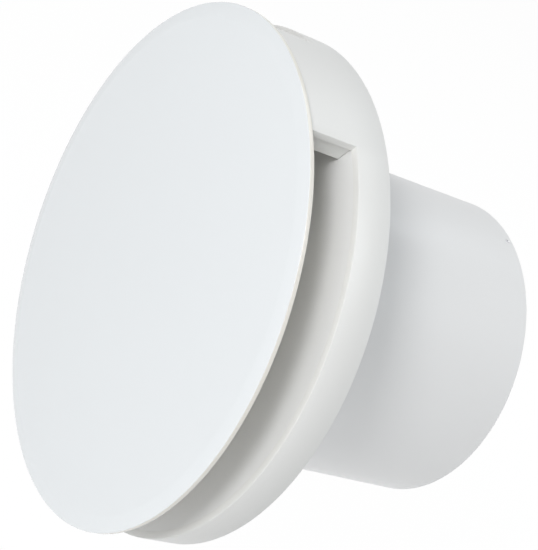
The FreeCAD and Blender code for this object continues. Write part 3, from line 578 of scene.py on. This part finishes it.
def put_together(name, parts, body, slot, *replaced, finish=None):
    """One object from several bmeshes, which rides on a body and stands for CAD nodes."""
    whole = bmesh.new()
    for part in parts:
        pour(part, whole)
    open_edges = sum(1 for edge in whole.edges if not edge.is_manifold)
    mesh = bpy.data.meshes.new(name)
    whole.to_mesh(mesh)
    whole.free()
    mesh.materials.append(finishes[finish or slot])
    piece = bpy.data.objects.new(name, mesh)
    bpy.context.scene.collection.objects.link(piece)
    shade_walls(piece)
    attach(piece, body)
    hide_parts(*replaced)
    print(name, "faces", len(mesh.polygons), "open edges", open_edges)


print("a part of a turn is closed at both ends")

# %% [markdown]
# ## Front panel
# The panel is a flat disc with a shallow bevel along its rim, which shows as a faint circle. On the real
# moulding every edge has a small radius, and the light picks it out as a thin line. The disc is one
# profile from the axis to the rim and back, so only three of its corners need to be rounded.

# %% Disc of the front panel
BEVEL_WIDTH = 4.6
BEVEL_DROP = 0.6
BEVEL_RADIUS = 0.5
EDGE_RADIUS = 0.15
EDGE_SEGMENTS = 4
REAR_EDGE_RADIUS = 0.12
PANEL_STEPS = 192

disc = bmesh.new()
_, bevel_corner, edge_corner, rear_corner, _ = profile_chain(disc, [
    (0, PANEL_FRONT), (PANEL_RADIUS - BEVEL_WIDTH, PANEL_FRONT), (PANEL_RADIUS, PANEL_FRONT + BEVEL_DROP),
    (PANEL_RADIUS, PANEL_REAR), (0, PANEL_REAR)], closed=False)
rounded(disc, [bevel_corner], BEVEL_RADIUS, EASED_SEGMENTS)
rounded(disc, [edge_corner], EDGE_RADIUS, EDGE_SEGMENTS)
rounded(disc, [rear_corner], REAR_EDGE_RADIUS, EASED_SEGMENTS)
spin_all(disc, FULL_TURN, PANEL_STEPS)
print("disc faces", len(disc.faces))

# %% [markdown]
# Two stiffening rings and two tongues sit on the panel's rear face. The tongues plug into the pillars and
# hold the panel there. Each is a bar with a square profile that goes a little into the disc, so that no gap
# is left between them.

# %% Rings and tongues of the front panel
ROOT = 0.4
RING_RADII = (24.0, 44.0)
RING_WALL = 1.6
RING_HEIGHT = 1.6
RING_EASE = 0.25
RING_STEPS = 96
PILLAR_ANGLES = (90.0, 270.0)
TONGUE_WALL = 1.8
TONGUE_HALF_ANGLE = 14.6
TONGUE_EASE = 0.3
TONGUE_STEPS = 16


def bar_on_panel(inner, outer, rear):
    """Square profile that starts inside the disc and ends at a level behind it."""
    front = PANEL_REAR - ROOT
    return [(inner, front), (outer, front), (outer, rear), (inner, rear)]


panel_parts = [disc]
for radius in RING_RADII:
    profile = bar_on_panel(radius, radius + RING_WALL, PANEL_REAR + RING_HEIGHT)
    panel_parts.append(arc_bar(profile, 0, FULL_TURN, RING_STEPS, RING_EASE))
for middle in PILLAR_ANGLES:
    profile = bar_on_panel(SKIRT_RADIUS - TONGUE_WALL, SKIRT_RADIUS, TONGUE_REAR)
    panel_parts.append(arc_bar(profile, middle - TONGUE_HALF_ANGLE, 2 * TONGUE_HALF_ANGLE, TONGUE_STEPS,
                               TONGUE_EASE))
put_together("panel_face", panel_parts, "cover", "cover_white", "front_panel", finish="panel_white")

# %% [markdown]
# ## Ring with its pillars
# The ring and the two pillars are one moulding of even wall. The wall is made first as a thin skin: a tall
# strip for each pillar and a low strip for each window, spun at one radius and welded. A solidify gives it
# its thickness. The ring slides on the base with a gap in the CAD model. The real one fits closely, so the
# wall is made thicker inwards until hardly any gap is left to show as a dark line.

# %% Wall of the cover ring
FIT_GAP = 0.02
COVER_WALL = COVER_RADIUS - SKIRT_RADIUS - FIT_GAP
PILLAR_SPAN = 33.4
PILLAR_STEPS = 16
WINDOW_SPAN = FULL_TURN / 2 - PILLAR_SPAN
WINDOW_STEPS = 72
SKIN_WELD = 0.01

wall = bmesh.new()


def wall_strip(levels, start, sweep, steps):
    """Part of the ring's outer skin between two angles."""
    strip = bmesh.new()
    profile_chain(strip, [(COVER_RADIUS, level) for level in levels], start, closed=False)
    bmesh.ops.spin(strip, geom=list(strip.verts) + list(strip.edges), cent=CENTRE, axis=DUCT_AXIS,
                   angle=math.radians(sweep), steps=steps)
    pour(strip, wall)


for middle in PILLAR_ANGLES:
    wall_strip((PANEL_REAR, LIP_LEVEL, BAND_REAR), middle - PILLAR_SPAN / 2, PILLAR_SPAN, PILLAR_STEPS)
    wall_strip((LIP_LEVEL, BAND_REAR), middle + PILLAR_SPAN / 2, WINDOW_SPAN, WINDOW_STEPS)
weld(wall, SKIN_WELD)
face_outwards(wall)
bmesh.ops.solidify(wall, geom=list(wall.faces), thickness=COVER_WALL * MM)
print("ring wall thickness", round(COVER_WALL, 2), "faces", len(wall.faces))

# %% [markdown]
# A bevel of the sharp edges rounds the windows' rims. Two kinds of edge are left sharp, because they lie
# against a neighbour, and a rounded edge would open a groove there: the pillars' ends on the panel, and the
# inner edge of the lip on the base.

# %% Rounded rims of the cover ring
RIM_RADIUS = 0.35
SHARP_ANGLE = 40.0
SAME_LEVEL = 0.05
CM = 0.01


def stays_sharp(edge):
    """Whether an edge lies on the panel or on the base."""
    rear = max(vert.co.y / MM for vert in edge.verts)
    radius = max(vert.co.xz.length / MM for vert in edge.verts)
    on_panel = rear < PANEL_REAR + SAME_LEVEL
    on_base = radius < COVER_RADIUS - COVER_WALL / 2 and rear < LIP_LEVEL + SAME_LEVEL
    return on_panel or on_base


sharp = [edge for edge in wall.edges if edge.calc_face_angle(0) > math.radians(SHARP_ANGLE)]
rims = [edge for edge in sharp if not stays_sharp(edge)]
bmesh.ops.bevel(wall, geom=rims, offset=RIM_RADIUS * MM, offset_type="OFFSET", segments=EASED_SEGMENTS,
                profile=0.5, affect="EDGES", material=-1)
print("ring wall volume, cubic centimetres:", round(wall.calc_volume() / CM ** 3, 2))

# %% [markdown]
# Each window ends in a rib that stands back a little from the pillar's edge, so that a thin step shows.
# Hooks in the middle of each pillar go down into slots of the base and hold the ring in place. They are
# short bars of a circle, so the same helper makes them. All of them have their root inside the wall.

# %% Ribs and hooks of the ring
ROOT_RADIUS = COVER_RADIUS - 1.0
RIB_INNER = 71.7
RIB_REAR = LIP_LEVEL - 0.1
RIB_ANGLE = 1.447
RIB_RECESS = 0.289
RIB_EASE = 0.08
RIB_STEPS = 2
HOOK_INNER = 71.6
HOOK_OUTER = HOOK_INNER + 2.0
HOOK_FRONT = TONGUE_REAR + 1.0
HOOK_SHOULDER = LIP_LEVEL - 0.3
HOOK_END = LIP_LEVEL + 7.0
HOOK_ANGLE = 3.6
HOOK_OFFSET = 4.5
HOOK_EASE = 0.2
HOOK_STEPS = 4
RIB_PROFILE = [(RIB_INNER, PANEL_REAR), (ROOT_RADIUS, PANEL_REAR), (ROOT_RADIUS, RIB_REAR),
               (RIB_INNER, RIB_REAR)]
HOOK_PROFILE = [(HOOK_INNER, HOOK_FRONT), (ROOT_RADIUS, HOOK_FRONT), (ROOT_RADIUS, HOOK_SHOULDER),
                (HOOK_OUTER, HOOK_SHOULDER), (HOOK_OUTER, HOOK_END), (HOOK_INNER, HOOK_END)]

ring_parts = [wall]
for middle in PILLAR_ANGLES:
    low_edge = middle - PILLAR_SPAN / 2
    high_edge = middle + PILLAR_SPAN / 2
    for start in (low_edge + RIB_RECESS, high_edge - RIB_RECESS - RIB_ANGLE):
        ring_parts.append(arc_bar(RIB_PROFILE, start, RIB_ANGLE, RIB_STEPS, RIB_EASE))
    for offset in (-HOOK_OFFSET, HOOK_OFFSET):
        start = middle + offset - HOOK_ANGLE / 2
        ring_parts.append(arc_bar(HOOK_PROFILE, start, HOOK_ANGLE, HOOK_STEPS, HOOK_EASE))
put_together("cover_shell", ring_parts, "cover", "cover_white", "cover_ring")

# %% [markdown]
# ## Return springs
# Each flap of the shutter is pushed shut by a small torsion spring on the pin. A helix is a spin that also
# moves along its axis at every step. It starts from a small circle, the section of the wire, and the free
# leg that lies on the flap is the same circle drawn out in a straight line.

# %% Spring pieces
swing = next(joint for joint in frame["joints"] if joint["name"] == "flap_right_swing")
spring_low, spring_high = corners("flap_spring_right")
PIN_LEVEL = swing["pos_m"][1] / MM
COIL_RADIUS = 1.5
COIL_PITCH = 0.45
COIL_TURNS = 5
COIL_START = spring_low.z + COIL_PITCH / 2
LEG_LENGTH = spring_high.x
WIRE_RADIUS = 0.21
WIRE_SIDES = 8
STEPS_PER_TURN = 28
PIN_AXIS = (0, 0, -1)


def spring(half_turns):
    """Coil of wire on the pin with one straight leg. The second spring is the first, half a turn round."""
    bm = bmesh.new()
    start = Matrix.Translation(Vector((0, PIN_LEVEL - COIL_RADIUS, COIL_START)) * MM)
    across = Matrix.Rotation(math.radians(90), 4, "Y")
    bmesh.ops.create_circle(bm, segments=WIRE_SIDES, radius=WIRE_RADIUS * MM, matrix=start @ across)
    section = list(bm.verts)
    section_edges = list(bm.edges)
    drawn = bmesh.ops.extrude_edge_only(bm, edges=section_edges)["geom"]
    leg_end = [item for item in drawn if isinstance(item, bmesh.types.BMVert)]
    bmesh.ops.translate(bm, verts=leg_end, vec=Vector((LEG_LENGTH, 0, 0)) * MM)
    bmesh.ops.spin(bm, geom=section + section_edges, cent=Vector((0, PIN_LEVEL, 0)) * MM, axis=PIN_AXIS,
                   dvec=Vector((0, 0, COIL_PITCH / STEPS_PER_TURN)) * MM,
                   angle=math.radians(FULL_TURN * COIL_TURNS), steps=STEPS_PER_TURN * COIL_TURNS)
    weld(bm)
    close_ends(bm)
    half_turn = Matrix.Rotation(math.pi * half_turns, 3, "Y")
    bmesh.ops.rotate(bm, verts=list(bm.verts), cent=CENTRE, matrix=half_turn)
    face_outwards(bm)
    return bm


put_together("right_spring", [spring(0)], "flap_right", "spring_steel", "flap_spring_right")
put_together("left_spring", [spring(1)], "flap_left", "spring_steel", "flap_spring_left")

# %% [markdown]
# ## Motor leads
# A wire bends in one smooth line, and a spline draws it better than straight pieces do. A NURBS spline of
# order three passes near its points without a kink, and starts and ends on the first and the last when its
# end points are held. The curve's own bevel gives it a round section before it becomes a mesh. Both leads
# start at the motor's cap and end in a clamp of the terminal block.

# %% Lead pieces
LEAD_RADIUS = 0.9
LEAD_ROUNDNESS = 3
LEAD_ORDER = 3
LEAD_SMOOTHNESS = 10
POLE_PITCH = 6.75
CAP_LEVEL = -9.0
CLAMP_X = 5.6
BEND_X = 17.9
CORNER_X = 29.58

clamps_low, clamps_high = corners("terminal_clamps")
block = (clamps_low + clamps_high) / 2
upper_pole = block.z + POLE_PITCH / 2
lower_pole = block.z - POLE_PITCH / 2
LEAD_ROUTES = (
    ((17.64, CAP_LEVEL, -8.99), (33.22, CAP_LEVEL, -17.99), (CORNER_X, block.y, -51.9),
     (BEND_X, block.y, upper_pole), (CLAMP_X, block.y, upper_pole)),
    ((16.61, CAP_LEVEL, -10.78), (32.19, CAP_LEVEL, -19.78), (CORNER_X, block.y, -55.3),
     (BEND_X, block.y, lower_pole), (CLAMP_X, block.y, lower_pole)),
)


def wire(route):
    """Mesh of one round wire along a smooth line by its route."""
    curve = bpy.data.curves.new("wire", "CURVE")
    curve.dimensions = "3D"
    curve.bevel_depth = LEAD_RADIUS * MM
    curve.bevel_resolution = LEAD_ROUNDNESS
    curve.use_fill_caps = True
    spline = curve.splines.new("NURBS")
    spline.points.add(len(route) - 1)
    for point, place in zip(spline.points, route):
        point.co = (*(Vector(place) * MM), 1)
    spline.order_u = LEAD_ORDER
    spline.use_endpoint_u = True
    spline.resolution_u = LEAD_SMOOTHNESS
    holder = bpy.data.objects.new("wire", curve)
    drawn = bpy.data.meshes.new_from_object(holder)
    bm = bmesh.new()
    bm.from_mesh(drawn)
    weld(bm)
    face_outwards(bm)
    bpy.data.objects.remove(holder)
    bpy.data.meshes.remove(drawn)
    return bm


put_together("motor_wires", [wire(route) for route in LEAD_ROUTES], "base", "lead_sleeve", "motor_leads")

# %% [markdown]
# ## Size
# The pieces must stay inside the box of the CAD model.
